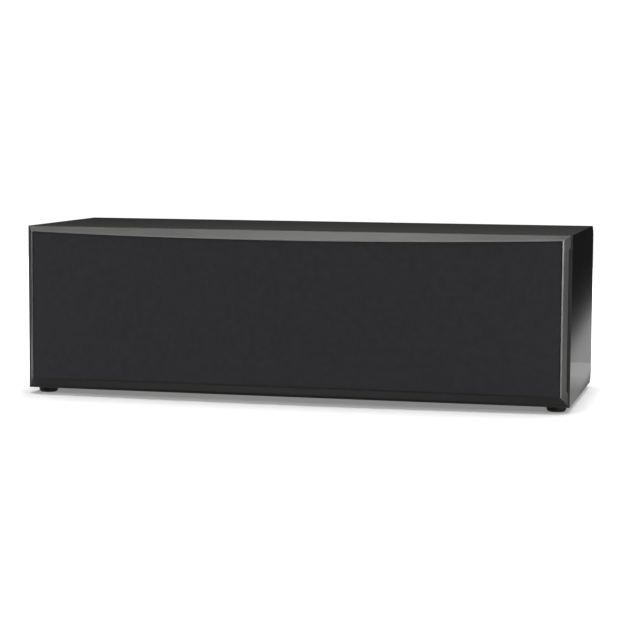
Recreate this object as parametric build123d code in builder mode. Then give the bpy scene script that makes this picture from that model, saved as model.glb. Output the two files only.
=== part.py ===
from build123d import *
import os
from math import cos, radians, sin, sqrt, tan

os.makedirs("parts", exist_ok=True)

# Driving sizes, in millimetres and degrees.

# Cabinet: the drivers and the room around them set its height and width.
woofer_flange_diameter = 166.0
woofer_to_edge = 17.0
woofer_to_side = 60.5
woofer_to_tweeter = 55.0
tweeter_plate_size = 104.0
cabinet_depth = 250.0
wall = 18.0
baffle_thickness = 20.0
rear_thickness = 16.0
rear_edge_radius = 16.0
front_edge_bevel = 0.8
brace_thickness = 15.0
brace_rim = 26.0

# Rubber feet.
foot_height = 7.0
foot_diameter = 23.5
foot_taper = 14.0
foot_inset_side = 17.5
foot_inset_end = 20.0

# Pull-off grille: a bezel with sloping sides and a bowed front, a frame inside it and cloth.
reveal_side = 1.8
reveal_top = 1.8
reveal_bottom = 4.5
rim_depth = 12.4
front_bow = 12.0
side_slope = 29.8
top_slope = 18.8
bottom_slope = 12.4
bezel_wall = 1.6
bezel_seat_gap = 0.3
ledge_width = 5.0
grip_depth = 3.2
grip_reach = 2.4
grip_to_corner = 12.0
cloth_setback = 0.5
cloth_gap = 1.0
cloth_thickness = 0.8
frame_thickness = 4.5
frame_window_margin = 6.0
frame_rib = 9.0
frame_border = 24.0
frame_window_corner = 24.0
peg_size = 7.0
peg_reach = 11.0
peg_fit = 0.08
peg_to_baffle_edge = 12.0
cup_wall = 2.0
cup_fit = 0.05
cup_bottom_gap = 1.0

# Woofers: radii from the driver's axis, depths back from the baffle's face.
woofer_flange_thickness = 4.0
flange_band = 13.0
basket_clearance = 3.0
strut_count = 4
strut_width = 16.0
strut_thickness = 6.0
strut_root = 1.0
strut_foot = 14.0
basket_depth = 47.0
surround_span = 14.0
diaphragm_thickness = 5.0
coil_bore_radius = 16.0
coil_wall = 1.0
coil_gap = 0.6
coil_overhang = 10.0
glue_gap = 0.1
surround_height = 6.0
surround_landing = 3.0
motor_radius = 50.0
motor_depth = 34.0
motor_gap_depth = 22.0

# Tweeter: a pleated film between two bar magnets, behind a guide with a slotted screen.
tweeter_plate_thickness = 5.0
tweeter_plate_corner = 8.0
tweeter_boss_width = 70.0
tweeter_boss_height = 88.0
tweeter_boss_depth = 8.0
tweeter_boss_fit = 1.0
guide_slope = 40.0
film_width = 26.0
film_height = 60.0
film_gap = 0.6
film_pleats = 8
film_depth = 5.0
film_thickness = 0.4
screen_bars = 4
screen_bar_width = 2.4
screen_depth = 2.0
tweeter_motor_depth = 16.0
tweeter_back_thickness = 6.0
tweeter_motor_inset = 2.0

# Rear: two slot ports and a recessed terminal cup.
rear_trim = 3.0
port_width = 96.0
port_height = 30.0
port_wall = 3.0
port_length = 110.0
port_lip = 9.0
port_mouth_bevel = 3.0
port_fit = 0.3
terminal_width = 92.0
terminal_height = 62.0
terminal_lip = 8.0
terminal_corner = 5.0
terminal_wall = 3.0
terminal_depth = 26.0
terminal_draft = 10.0
terminal_fit = 0.3

# Binding posts.
post_spacing = 19.0
post_stud_radius = 3.0
post_stud_length = 18.5
post_collar_radius = 6.6
post_collar_thickness = 3.0
post_tail_width = 4.0
post_tail_thickness = 1.6
post_tail_length = 9.0
post_tail_fit = 0.2
plug_bore_radius = 2.05
plug_bore_length = 15.0
nut_radius = 6.8
nut_length = 10.0
nut_sides = 10
nut_fit = 0.08
washer_radius = 6.2
washer_thickness = 1.2
seat_gap = 0.05

# Crossover on the cabinet floor, and damping pads under its top.
board_thickness = 1.6
board_length = 84.0
board_to_brace = 8.0
board_setback = 60.0
standoff_size = 8.0
standoff_height = 6.0
standoff_inset = 4.0
inductor_size = 32.0
inductor_height = 28.0
winding_bulge = 4.0
capacitor_length = 30.0
capacitor_width = 14.0
capacitor_height = 22.0
resistor_length = 24.0
resistor_width = 9.0
component_gap = 6.0
pad_length = 150.0
pad_thickness = 20.0
pad_setback = 58.0
pad_to_rear = 20.0

# Derived places: X to the right, Y to the back, Z up, with the origin under the middle of the
# whole speaker at the feet.
cabinet_height = woofer_flange_diameter + 2 * woofer_to_edge
cabinet_width = 2 * (woofer_to_side + woofer_flange_diameter + woofer_to_tweeter) + tweeter_plate_size
inner_width = cabinet_width - 2 * wall
inner_height = cabinet_height - 2 * wall
cabinet_top = foot_height + cabinet_height
axis_z = foot_height + cabinet_height / 2
front_reach = rim_depth + front_bow
total_depth = front_reach + cabinet_depth + rear_trim
front_y = front_reach - total_depth / 2
rear_y = front_y + cabinet_depth
baffle_back_y = front_y + baffle_thickness
rear_front_y = rear_y - rear_thickness
woofer_x = tweeter_plate_size / 2 + woofer_to_tweeter + woofer_flange_diameter / 2
woofer_places = [(-woofer_x, 0), (woofer_x, 0)]
flange_radius = woofer_flange_diameter / 2
flange_bore_radius = flange_radius - flange_band
woofer_cutout_radius = flange_bore_radius + basket_clearance
diaphragm_radius = flange_bore_radius - surround_span
peg_x = inner_width / 2 - peg_to_baffle_edge
peg_z = inner_height / 2 - peg_to_baffle_edge


def facing(y):
    """Plane across the cabinet at depth y: local x is X, local y is up from the driver axis."""
    return Plane((0, y, axis_z), x_dir=(1, 0, 0), z_dir=(0, -1, 0))


def tapered_room(floor_y, floor_width, floor_height, mouth_y, flare):
    """Recess on the driver axis whose four walls spread by flare from its floor to its mouth."""
    floor_x = floor_width / 2
    floor_z = floor_height / 2
    with BuildPart() as room:
        with BuildSketch(Plane.XY):
            with BuildLine():
                Polyline(
                    (-floor_x, floor_y),
                    (floor_x, floor_y),
                    (floor_x + flare, mouth_y),
                    (-floor_x - flare, mouth_y),
                    close=True,
                )
            make_face()
        extrude(amount=cabinet_top)
        with BuildSketch(Plane.YZ):
            with BuildLine():
                Polyline(
                    (floor_y, axis_z - floor_z),
                    (floor_y, axis_z + floor_z),
                    (mouth_y, axis_z + floor_z + flare),
                    (mouth_y, axis_z - floor_z - flare),
                    close=True,
                )
            make_face()
        extrude(amount=cabinet_width, both=True, mode=Mode.INTERSECT)
    return room.part


# Cabinet shell: one lacquered wrap, open at front and rear, with rounded rear edges.
with BuildPart() as cabinet_shell:
    with BuildSketch(facing(front_y)):
        Rectangle(cabinet_width, cabinet_height)
    extrude(amount=-cabinet_depth)
    rear_edges = cabinet_shell.faces().sort_by(Axis.Y)[-1].edges().filter_by(Axis.X)
    fillet(rear_edges, rear_edge_radius)
    front_edges = cabinet_shell.faces().sort_by(Axis.Y)[0].edges()
    chamfer(front_edges, front_edge_bevel)
    with BuildSketch(facing(front_y)):
        Rectangle(inner_width, inner_height)
    extrude(amount=-cabinet_depth, mode=Mode.SUBTRACT)
cabinet_shell.part.label = "cabinet_shell"
export_step(cabinet_shell.part, "parts/cabinet_shell.step")

# Front baffle: set flush in the wrap, with the driver cut-outs and four blind sockets for cups.
cup_size = peg_size + 2 * (peg_fit + cup_wall)
cup_depth = peg_reach + cup_bottom_gap + cup_wall
with BuildPart() as front_baffle:
    with BuildSketch(facing(front_y)):
        Rectangle(inner_width, inner_height)
        with Locations(*woofer_places):
            Circle(woofer_cutout_radius, mode=Mode.SUBTRACT)
        Rectangle(
            tweeter_boss_width + 2 * tweeter_boss_fit,
            tweeter_boss_height + 2 * tweeter_boss_fit,
            mode=Mode.SUBTRACT,
        )
    extrude(amount=-baffle_thickness)
    with BuildSketch(facing(front_y)):
        with GridLocations(2 * peg_x, 2 * peg_z, 2, 2):
            Rectangle(cup_size + 2 * cup_fit, cup_size + 2 * cup_fit)
    extrude(amount=-cup_depth, mode=Mode.SUBTRACT)
front_baffle.part.label = "front_baffle"
export_step(front_baffle.part, "parts/front_baffle.step")

# Rear panel: set flush in the wrap, with holes for the two ports and the terminal cup.
port_places = [(-woofer_x, 0), (woofer_x, 0)]
port_outer_width = port_width + 2 * port_wall
port_outer_height = port_height + 2 * port_wall
with BuildPart() as rear_panel:
    with BuildSketch(facing(rear_front_y)):
        Rectangle(inner_width, inner_height)
        with Locations(*port_places):
            Rectangle(port_outer_width + 2 * port_fit, port_outer_height + 2 * port_fit, mode=Mode.SUBTRACT)
        Rectangle(terminal_width + 2 * terminal_fit, terminal_height + 2 * terminal_fit, mode=Mode.SUBTRACT)
    extrude(amount=-rear_thickness)
rear_panel.part.label = "rear_panel"
export_step(rear_panel.part, "parts/rear_panel.step")

# Window braces between the tweeter and each woofer, tying all four panels together.
brace_x = tweeter_plate_size / 2 + woofer_to_tweeter / 2
brace_length = rear_front_y - baffle_back_y
brace_middle = (brace_x, (baffle_back_y + rear_front_y) / 2, axis_z)
with BuildPart() as cabinet_braces:
    with BuildSketch(Plane(brace_middle, x_dir=(0, 1, 0), z_dir=(1, 0, 0))):
        Rectangle(brace_length, inner_height)
        Rectangle(brace_length - 2 * brace_rim, inner_height - 2 * brace_rim, mode=Mode.SUBTRACT)
    extrude(amount=brace_thickness / 2, both=True)
    mirror(about=Plane.YZ)
cabinet_braces.part.label = "cabinet_braces"
export_step(cabinet_braces.part, "parts/cabinet_braces.step")

# Grille: the four outer faces of the bezel slope in towards the front, which is one bowed surface.
rim_half_width = cabinet_width / 2 - reveal_side - rim_depth * tan(radians(side_slope))
bow_radius = (rim_half_width**2 + front_bow**2) / (2 * front_bow)
bezel_back_y = front_y - bezel_seat_gap
bezel_tip_y = front_y - front_reach - bezel_wall


def bow_y(x, setback):
    """Depth of the bowed front at x, set back from the rim."""
    return front_y - front_reach + setback + bow_radius - sqrt(bow_radius**2 - x**2)


def bowed_slab(front_setback, back_setback):
    """Slab between two copies of the bowed front."""
    half = cabinet_width / 2
    with BuildPart() as slab:
        with BuildSketch(Plane.XY):
            with BuildLine():
                front_left = (-half, bow_y(half, front_setback))
                front_right = (half, bow_y(half, front_setback))
                back_left = (-half, bow_y(half, back_setback))
                back_right = (half, bow_y(half, back_setback))
                ThreePointArc(front_left, (0, bow_y(0, front_setback)), front_right)
                Line(front_right, back_right)
                ThreePointArc(back_right, (0, bow_y(0, back_setback)), back_left)
                Line(back_left, front_left)
            make_face()
        extrude(amount=cabinet_top)
    return slab.part


def sloped_space(inset):
    """Room inside the bezel's four sloping faces, moved in by inset, from its seat past its rim."""
    reach = bezel_back_y - bezel_tip_y
    top_back = cabinet_top - reveal_top - inset
    bottom_back = foot_height + reveal_bottom + inset
    side_back = cabinet_width / 2 - reveal_side - inset
    top_tip = top_back - reach * tan(radians(top_slope))
    bottom_tip = bottom_back + reach * tan(radians(bottom_slope))
    side_tip = side_back - reach * tan(radians(side_slope))
    with BuildPart() as space:
        with BuildSketch(Plane.YZ):
            with BuildLine():
                Polyline(
                    (bezel_back_y, bottom_back),
                    (bezel_back_y, top_back),
                    (bezel_tip_y, top_tip),
                    (bezel_tip_y, bottom_tip),
                    close=True,
                )
            make_face()
        extrude(amount=cabinet_width / 2, both=True)
        with BuildSketch(Plane.XY):
            with BuildLine():
                Polyline(
                    (-side_back, bezel_back_y),
                    (side_back, bezel_back_y),
                    (side_tip, bezel_tip_y),
                    (-side_tip, bezel_tip_y),
                    close=True,
                )
            make_face()
        extrude(amount=cabinet_top, mode=Mode.INTERSECT)
    return space.part


cloth_inset = bezel_wall + cloth_gap
frame_inset = cloth_inset + cloth_thickness
frame_setback = cloth_setback + cloth_thickness
ledge_setback = frame_setback + frame_thickness

# Thick back of the bezel, with a ledge that the frame is glued to.
with BuildPart() as bezel_ledge:
    add(sloped_space(bezel_wall))
    add(bowed_slab(ledge_setback, 2 * front_reach), mode=Mode.INTERSECT)
    add(sloped_space(bezel_wall + ledge_width), mode=Mode.SUBTRACT)

# Bezel: a moulded ring with a finger slot along the back edge of each end.
grip_top = cabinet_top - reveal_top - grip_to_corner
grip_bottom = foot_height + reveal_bottom + grip_to_corner
grip_floor_x = cabinet_width / 2 - reveal_side - grip_reach
with BuildPart() as grille_bezel:
    add(sloped_space(0))
    add(bowed_slab(0, 2 * front_reach), mode=Mode.INTERSECT)
    add(sloped_space(bezel_wall), mode=Mode.SUBTRACT)
    add(bezel_ledge.part)
    for end in (-1, 1):
        with BuildSketch(Plane.YZ.offset(end * grip_floor_x)):
            with BuildLine():
                Polyline(
                    (bezel_back_y, grip_bottom),
                    (bezel_back_y, grip_top),
                    (bezel_back_y - grip_depth, grip_top - grip_depth),
                    (bezel_back_y - grip_depth, grip_bottom + grip_depth),
                    close=True,
                )
            make_face()
        extrude(amount=end * (grip_reach + reveal_side), mode=Mode.SUBTRACT)
grille_bezel.part.label = "grille_bezel"
export_step(grille_bezel.part, "parts/grille_bezel.step")

# Grille frame: a bowed lattice with a window for each driver, and four pegs on its back.
window_size = woofer_flange_diameter - 2 * frame_window_margin
middle_window_width = 2 * (woofer_x - window_size / 2 - frame_rib)
window_height = cabinet_height - 2 * frame_border
peg_tip_y = front_y + peg_reach
peg_root_y = bow_y(peg_x, frame_setback + frame_thickness / 2)
with BuildPart() as grille_frame:
    add(sloped_space(frame_inset))
    add(bowed_slab(frame_setback, ledge_setback), mode=Mode.INTERSECT)
    with BuildSketch(facing(front_y)) as windows:
        with Locations(*woofer_places):
            Rectangle(window_size, window_height)
        Rectangle(middle_window_width, window_height)
        chamfer(windows.vertices(), frame_window_corner)
    extrude(amount=front_reach, mode=Mode.SUBTRACT)
    with BuildSketch(facing(peg_tip_y)):
        with GridLocations(2 * peg_x, 2 * peg_z, 2, 2):
            Rectangle(peg_size, peg_size)
    extrude(amount=peg_tip_y - peg_root_y)
grille_frame.part.label = "grille_frame"
export_step(grille_frame.part, "parts/grille_frame.step")

# Grille cloth: stretched over the front of the frame and down its edges.
with BuildPart() as frame_room:
    add(sloped_space(frame_inset))
    add(bowed_slab(frame_setback, 2 * front_reach), mode=Mode.INTERSECT)
with BuildPart() as grille_cloth:
    add(sloped_space(cloth_inset))
    add(bowed_slab(cloth_setback, ledge_setback), mode=Mode.INTERSECT)
    add(frame_room.part, mode=Mode.SUBTRACT)
grille_cloth.part.label = "grille_cloth"
export_step(grille_cloth.part, "parts/grille_cloth.step")

# Rubber cups that grip the pegs.
peg_room = peg_size + 2 * peg_fit
with BuildPart() as peg_cups:
    with BuildSketch(facing(front_y)):
        with GridLocations(2 * peg_x, 2 * peg_z, 2, 2):
            Rectangle(cup_size, cup_size)
    extrude(amount=-cup_depth)
    with BuildSketch(facing(front_y)):
        with GridLocations(2 * peg_x, 2 * peg_z, 2, 2):
            Rectangle(peg_room, peg_room)
    extrude(amount=-(cup_depth - cup_wall), mode=Mode.SUBTRACT)
peg_cups.part.label = "peg_cups"
export_step(peg_cups.part, "parts/peg_cups.step")

# Woofer frames: a flange on the baffle and slanting struts that carry the motor.
strut_inner_radius = flange_bore_radius - strut_thickness
motor_seat_radius = motor_radius - strut_thickness
with BuildPart() as woofer_frames:
    with BuildSketch(facing(front_y)):
        with Locations(*woofer_places):
            Circle(flange_radius)
            Circle(flange_bore_radius, mode=Mode.SUBTRACT)
    extrude(amount=woofer_flange_thickness)
    for x, _ in woofer_places:
        for turn in range(strut_count):
            angle = radians((turn + 0.5) * 360 / strut_count)
            outward = (cos(angle), 0, sin(angle))
            sideways = (-sin(angle), 0, cos(angle))
            with BuildSketch(Plane((x, front_y, axis_z), x_dir=outward, z_dir=sideways)):
                with BuildLine():
                    Polyline(
                        (flange_bore_radius + strut_root, -woofer_flange_thickness),
                        (flange_bore_radius + strut_root, 0),
                        (flange_bore_radius, 0),
                        (motor_radius, basket_depth),
                        (motor_radius - strut_foot, basket_depth),
                        (motor_radius - strut_foot, basket_depth - strut_thickness),
                        (motor_seat_radius, basket_depth - strut_thickness),
                        (strut_inner_radius, -woofer_flange_thickness),
                        close=True,
                    )
                make_face()
            extrude(amount=strut_width / 2, both=True)
woofer_frames.part.label = "woofer_frames"
export_step(woofer_frames.part, "parts/woofer_frames.step")

# Woofer motors: shielded cans with a ring-shaped gap for the coil around the pole.
coil_outer_radius = coil_bore_radius + coil_wall
with BuildPart() as woofer_motors:
    with BuildSketch(facing(front_y + basket_depth)):
        with Locations(*woofer_places):
            Circle(motor_radius)
    extrude(amount=-motor_depth)
    with BuildSketch(facing(front_y + basket_depth)):
        with Locations(*woofer_places):
            Circle(coil_outer_radius + coil_gap)
            Circle(coil_bore_radius - coil_gap, mode=Mode.SUBTRACT)
    extrude(amount=-motor_gap_depth, mode=Mode.SUBTRACT)
woofer_motors.part.label = "woofer_motors"
export_step(woofer_motors.part, "parts/woofer_motors.step")

# Woofer diaphragms: flat sandwich pistons, each with its voice coil bonded to the back.
diaphragm_front_y = front_y - woofer_flange_thickness
diaphragm_back_y = diaphragm_front_y + diaphragm_thickness
coil_end_y = front_y + basket_depth + coil_overhang
for side, x in (("left", -woofer_x), ("right", woofer_x)):
    with BuildPart() as diaphragm:
        with BuildSketch(facing(diaphragm_front_y)):
            with Locations((x, 0)):
                Circle(diaphragm_radius)
        extrude(amount=-diaphragm_thickness)
        with BuildSketch(facing(diaphragm_back_y)):
            with Locations((x, 0)):
                Circle(coil_outer_radius)
                Circle(coil_bore_radius, mode=Mode.SUBTRACT)
        extrude(amount=-(coil_end_y - diaphragm_back_y))
    diaphragm.part.label = f"woofer_{side}_diaphragm"
    export_step(diaphragm.part, f"parts/woofer_{side}_diaphragm.step")

# Woofer surrounds: plain rings of rubber from the diaphragm's rim to the flange.
surround_base_y = diaphragm_front_y - glue_gap
with BuildPart() as woofer_surrounds:
    with BuildSketch(facing(surround_base_y)):
        with Locations(*woofer_places):
            Circle(flange_bore_radius + surround_landing)
            Circle(diaphragm_radius - surround_landing, mode=Mode.SUBTRACT)
    extrude(amount=surround_height)
woofer_surrounds.part.label = "woofer_surrounds"
export_step(woofer_surrounds.part, "parts/woofer_surrounds.step")

# Tweeter plate: a flared guide down to a throat that is crossed by bars.
boss_back_y = front_y + tweeter_boss_depth
plate_front_y = front_y - tweeter_plate_thickness
throat_y = boss_back_y - screen_depth
guide_flare = (throat_y - plate_front_y) * tan(radians(guide_slope))
with BuildPart() as tweeter_plate:
    with BuildSketch(facing(front_y)) as plate_outline:
        Rectangle(tweeter_plate_size, tweeter_plate_size)
        chamfer(plate_outline.vertices(), tweeter_plate_corner)
    extrude(amount=tweeter_plate_thickness)
    with BuildSketch(facing(front_y)):
        Rectangle(tweeter_boss_width, tweeter_boss_height)
    extrude(amount=-tweeter_boss_depth)
    add(tapered_room(throat_y, film_width, film_height, plate_front_y, guide_flare), mode=Mode.SUBTRACT)
    with BuildSketch(facing(boss_back_y)):
        Rectangle(film_width, film_height)
        with GridLocations(0, film_height / (screen_bars + 1), 1, screen_bars):
            Rectangle(film_width, screen_bar_width, mode=Mode.SUBTRACT)
    extrude(amount=screen_depth, mode=Mode.SUBTRACT)
tweeter_plate.part.label = "tweeter_plate"
export_step(tweeter_plate.part, "parts/tweeter_plate.step")

# Tweeter film: pleated from side to side.
film_front_y = boss_back_y + film_gap
pleat_step = film_width / (2 * film_pleats)
front_folds = []
for fold in range(2 * film_pleats + 1):
    front_folds.append((fold * pleat_step - film_width / 2, film_depth * (fold % 2)))
back_folds = [(x, y + film_thickness) for x, y in reversed(front_folds)]
with BuildPart() as tweeter_film:
    with BuildSketch(Plane((0, film_front_y, axis_z))):
        with BuildLine():
            Polyline(*front_folds, *back_folds, close=True)
        make_face()
    extrude(amount=film_height / 2, both=True)
tweeter_film.part.label = "tweeter_film"
export_step(tweeter_film.part, "parts/tweeter_film.step")

# Tweeter motor: a bar magnet on each side of the film and a steel plate behind them.
motor_width = tweeter_boss_width - 2 * tweeter_motor_inset
motor_height = tweeter_boss_height - 2 * tweeter_motor_inset
with BuildPart() as tweeter_magnets:
    with BuildSketch(facing(boss_back_y)):
        Rectangle(motor_width, motor_height)
        Rectangle(film_width + 2 * film_gap, motor_height, mode=Mode.SUBTRACT)
    extrude(amount=-tweeter_motor_depth)
tweeter_magnets.part.label = "tweeter_magnets"
export_step(tweeter_magnets.part, "parts/tweeter_magnets.step")

with BuildPart() as tweeter_back_plate:
    with BuildSketch(facing(boss_back_y + tweeter_motor_depth)):
        Rectangle(motor_width, motor_height)
    extrude(amount=-tweeter_back_thickness)
tweeter_back_plate.part.label = "tweeter_back_plate"
export_step(tweeter_back_plate.part, "parts/tweeter_back_plate.step")

# Rear ports: rectangular ducts with a flange on the rear panel and a bevelled mouth.
with BuildPart() as port_ducts:
    with BuildSketch(facing(rear_y)) as port_flanges:
        with Locations(*port_places):
            Rectangle(port_outer_width + 2 * port_lip, port_outer_height + 2 * port_lip)
        chamfer(port_flanges.vertices(), port_lip)
    extrude(amount=-rear_trim)
    with BuildSketch(facing(rear_y)):
        with Locations(*port_places):
            Rectangle(port_outer_width, port_outer_height)
    extrude(amount=port_length)
    with BuildSketch(facing(rear_y + rear_trim)):
        with Locations(*port_places):
            Rectangle(port_width, port_height)
    extrude(amount=rear_trim + port_length, mode=Mode.SUBTRACT)
    with BuildSketch(facing(rear_y + rear_trim)):
        with Locations(*port_places):
            Rectangle(port_width + 2 * port_mouth_bevel, port_height + 2 * port_mouth_bevel)
    extrude(amount=port_mouth_bevel, taper=45, mode=Mode.SUBTRACT)
port_ducts.part.label = "port_ducts"
export_step(port_ducts.part, "parts/port_ducts.step")

# Terminal cup: a lipped tray with drafted walls and a slot for the tail of each post.
cup_floor_y = rear_y - terminal_depth
cup_mouth_y = rear_y + rear_trim
cup_draft = (cup_mouth_y - cup_floor_y) * tan(radians(terminal_draft))
cup_floor_width = terminal_width - 2 * (terminal_wall + cup_draft)
cup_floor_height = terminal_height - 2 * (terminal_wall + cup_draft)
post_places = [(-post_spacing / 2, 0), (post_spacing / 2, 0)]
with BuildPart() as terminal_cup:
    with BuildSketch(facing(rear_y)) as cup_lip:
        Rectangle(terminal_width + 2 * terminal_lip, terminal_height + 2 * terminal_lip)
        chamfer(cup_lip.vertices(), terminal_corner)
    extrude(amount=-rear_trim)
    with BuildSketch(facing(rear_y)):
        Rectangle(terminal_width, terminal_height)
    extrude(amount=terminal_depth + terminal_wall)
    add(
        tapered_room(cup_floor_y, cup_floor_width, cup_floor_height, cup_mouth_y, cup_draft),
        mode=Mode.SUBTRACT,
    )
    with BuildSketch(facing(cup_floor_y)):
        with Locations(*post_places):
            Rectangle(post_tail_width + 2 * post_tail_fit, post_tail_thickness + 2 * post_tail_fit)
    extrude(amount=terminal_wall, mode=Mode.SUBTRACT)
terminal_cup.part.label = "terminal_cup"
export_step(terminal_cup.part, "parts/terminal_cup.step")

# Binding posts: a flat tail through the floor, a hexagon collar, and a stud bored for a plug.
with BuildPart() as binding_posts:
    with BuildSketch(facing(cup_floor_y)):
        with Locations(*post_places):
            Rectangle(post_tail_width, post_tail_thickness)
    extrude(amount=terminal_wall + post_tail_length)
    with BuildSketch(facing(cup_floor_y)):
        with Locations(*post_places):
            RegularPolygon(post_collar_radius, 6)
    extrude(amount=-post_collar_thickness)
    with BuildSketch(facing(cup_floor_y)):
        with Locations(*post_places):
            Circle(post_stud_radius)
    extrude(amount=-post_stud_length)
    with BuildSketch(facing(cup_floor_y + post_stud_length)):
        with Locations(*post_places):
            Circle(plug_bore_radius)
    extrude(amount=plug_bore_length, mode=Mode.SUBTRACT)
binding_posts.part.label = "binding_posts"
export_step(binding_posts.part, "parts/binding_posts.step")

# A captive washer and a thumb nut on each post, screwed down.
washer_y = cup_floor_y + post_collar_thickness + seat_gap
nut_y = washer_y + washer_thickness + seat_gap
for colour, (x, z) in zip(("red", "black"), reversed(post_places)):
    with BuildPart() as washer:
        with BuildSketch(facing(washer_y)):
            with Locations((x, z)):
                RegularPolygon(washer_radius, 6)
                Circle(post_stud_radius + nut_fit, mode=Mode.SUBTRACT)
        extrude(amount=-washer_thickness)
    washer.part.label = f"{colour}_washer"
    export_step(washer.part, f"parts/{colour}_washer.step")

    with BuildPart() as nut:
        with BuildSketch(facing(nut_y)):
            with Locations((x, z)):
                RegularPolygon(nut_radius, nut_sides)
                Circle(post_stud_radius + nut_fit, mode=Mode.SUBTRACT)
        extrude(amount=-nut_length)
    nut.part.label = f"{colour}_nut"
    export_step(nut.part, f"parts/{colour}_nut.step")

# Crossover board on four standoffs, with its inductors, capacitors and resistors.
floor_z = foot_height + wall
board_z = floor_z + standoff_height
component_z = board_z + board_thickness
board_width = 2 * (brace_x - brace_thickness / 2 - board_to_brace)
board_y = baffle_back_y + board_setback + board_length / 2
with BuildPart() as crossover_standoffs:
    with BuildSketch(Plane((0, board_y, floor_z))):
        standoff_span_x = board_width - 2 * standoff_inset - standoff_size
        standoff_span_y = board_length - 2 * standoff_inset - standoff_size
        with GridLocations(standoff_span_x, standoff_span_y, 2, 2):
            Rectangle(standoff_size, standoff_size)
    extrude(amount=standoff_height)
crossover_standoffs.part.label = "crossover_standoffs"
export_step(crossover_standoffs.part, "parts/crossover_standoffs.step")

with BuildPart() as crossover_board:
    with BuildSketch(Plane((0, board_y, board_z))):
        Rectangle(board_width, board_length)
    extrude(amount=board_thickness)
crossover_board.part.label = "crossover_board"
export_step(crossover_board.part, "parts/crossover_board.step")

inductor_x = board_width / 2 - component_gap - inductor_size / 2
inductor_y = board_y - board_length / 2 + component_gap + winding_bulge + inductor_size / 2
with BuildPart() as crossover_inductors:
    with BuildSketch(Plane((0, inductor_y, component_z))):
        with Locations((-inductor_x, 0), (inductor_x, 0)):
            Rectangle(inductor_size, inductor_size)
    extrude(amount=inductor_height)
    with BuildSketch(Plane((0, inductor_y, component_z))):
        with Locations((-inductor_x, 0), (inductor_x, 0)):
            Rectangle(inductor_size / 2, inductor_size + 2 * winding_bulge)
    extrude(amount=inductor_height - winding_bulge)
crossover_inductors.part.label = "crossover_inductors"
export_step(crossover_inductors.part, "parts/crossover_inductors.step")

capacitor_y = board_y + board_length / 2 - component_gap - capacitor_width / 2
capacitor_pitch = (board_width - capacitor_length) / 2 - component_gap
with BuildPart() as crossover_capacitors:
    with BuildSketch(Plane((0, capacitor_y, component_z))):
        with GridLocations(capacitor_pitch, 0, 3, 1):
            Rectangle(capacitor_length, capacitor_width)
    extrude(amount=capacitor_height)
crossover_capacitors.part.label = "crossover_capacitors"
export_step(crossover_capacitors.part, "parts/crossover_capacitors.step")

resistor_pitch = resistor_width + component_gap
with BuildPart() as crossover_resistors:
    with BuildSketch(Plane((0, inductor_y, component_z))):
        with GridLocations(0, resistor_pitch, 1, 2):
            Rectangle(resistor_length, resistor_width)
    extrude(amount=resistor_width)
crossover_resistors.part.label = "crossover_resistors"
export_step(crossover_resistors.part, "parts/crossover_resistors.step")

# Fibre damping pads glued under the top panel, one over each woofer.
pad_front_y = front_y + pad_setback
pad_width = rear_front_y - pad_to_rear - pad_front_y
pad_z = cabinet_top - wall - pad_thickness
with BuildPart() as damping_pads:
    with BuildSketch(Plane((0, pad_front_y + pad_width / 2, pad_z))):
        with Locations((-woofer_x, 0), (woofer_x, 0)):
            Rectangle(pad_length, pad_width)
    extrude(amount=pad_thickness)
damping_pads.part.label = "damping_pads"
export_step(damping_pads.part, "parts/damping_pads.step")

# Feet: tapered rubber discs near the four corners.
foot_span_x = cabinet_width - 2 * foot_inset_side
foot_span_y = cabinet_depth - 2 * foot_inset_end
with BuildPart() as feet:
    with BuildSketch(Plane((0, (front_y + rear_y) / 2, foot_height), z_dir=(0, 0, -1))):
        with GridLocations(foot_span_x, foot_span_y, 2, 2):
            Circle(foot_diameter / 2)
    extrude(amount=foot_height, taper=foot_taper)
feet.part.label = "feet"
export_step(feet.part, "parts/feet.step")
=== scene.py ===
import math

import bmesh
import bpy
from mathutils import Matrix, Vector
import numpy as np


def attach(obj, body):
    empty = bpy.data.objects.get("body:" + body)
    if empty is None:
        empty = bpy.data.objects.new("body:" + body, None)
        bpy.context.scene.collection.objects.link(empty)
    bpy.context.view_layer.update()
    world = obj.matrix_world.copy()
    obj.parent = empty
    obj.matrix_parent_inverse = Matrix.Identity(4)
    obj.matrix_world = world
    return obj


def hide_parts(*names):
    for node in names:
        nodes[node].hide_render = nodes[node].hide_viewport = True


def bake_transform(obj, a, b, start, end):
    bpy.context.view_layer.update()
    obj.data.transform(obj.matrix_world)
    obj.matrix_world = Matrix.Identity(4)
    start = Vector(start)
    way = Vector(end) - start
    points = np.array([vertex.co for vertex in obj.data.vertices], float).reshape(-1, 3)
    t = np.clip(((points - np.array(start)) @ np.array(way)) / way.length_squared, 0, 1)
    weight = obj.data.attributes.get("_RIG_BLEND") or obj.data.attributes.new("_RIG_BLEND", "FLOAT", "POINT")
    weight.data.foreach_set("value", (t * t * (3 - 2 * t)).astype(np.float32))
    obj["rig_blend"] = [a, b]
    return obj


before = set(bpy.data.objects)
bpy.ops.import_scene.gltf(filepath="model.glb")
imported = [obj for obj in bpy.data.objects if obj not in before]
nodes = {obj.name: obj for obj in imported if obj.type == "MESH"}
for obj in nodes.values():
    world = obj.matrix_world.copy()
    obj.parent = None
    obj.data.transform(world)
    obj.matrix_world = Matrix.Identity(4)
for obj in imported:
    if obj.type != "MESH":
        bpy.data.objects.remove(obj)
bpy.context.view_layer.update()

# Sizes of the speaker, in metres, in the frame of its solids.
hair = 0.00005
cabinet_width = 0.667
cabinet_height = 0.200
cabinet_top = 0.207
cabinet_bottom = 0.007
axis_z = 0.107
front_y = -0.1143
rear_y = 0.1357
cabinet_depth = rear_y - front_y
cabinet_middle = (0.0, (front_y + rear_y) / 2, axis_z)
wall = 0.018
rear_round = 0.016
band_depth = 0.0004
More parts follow.
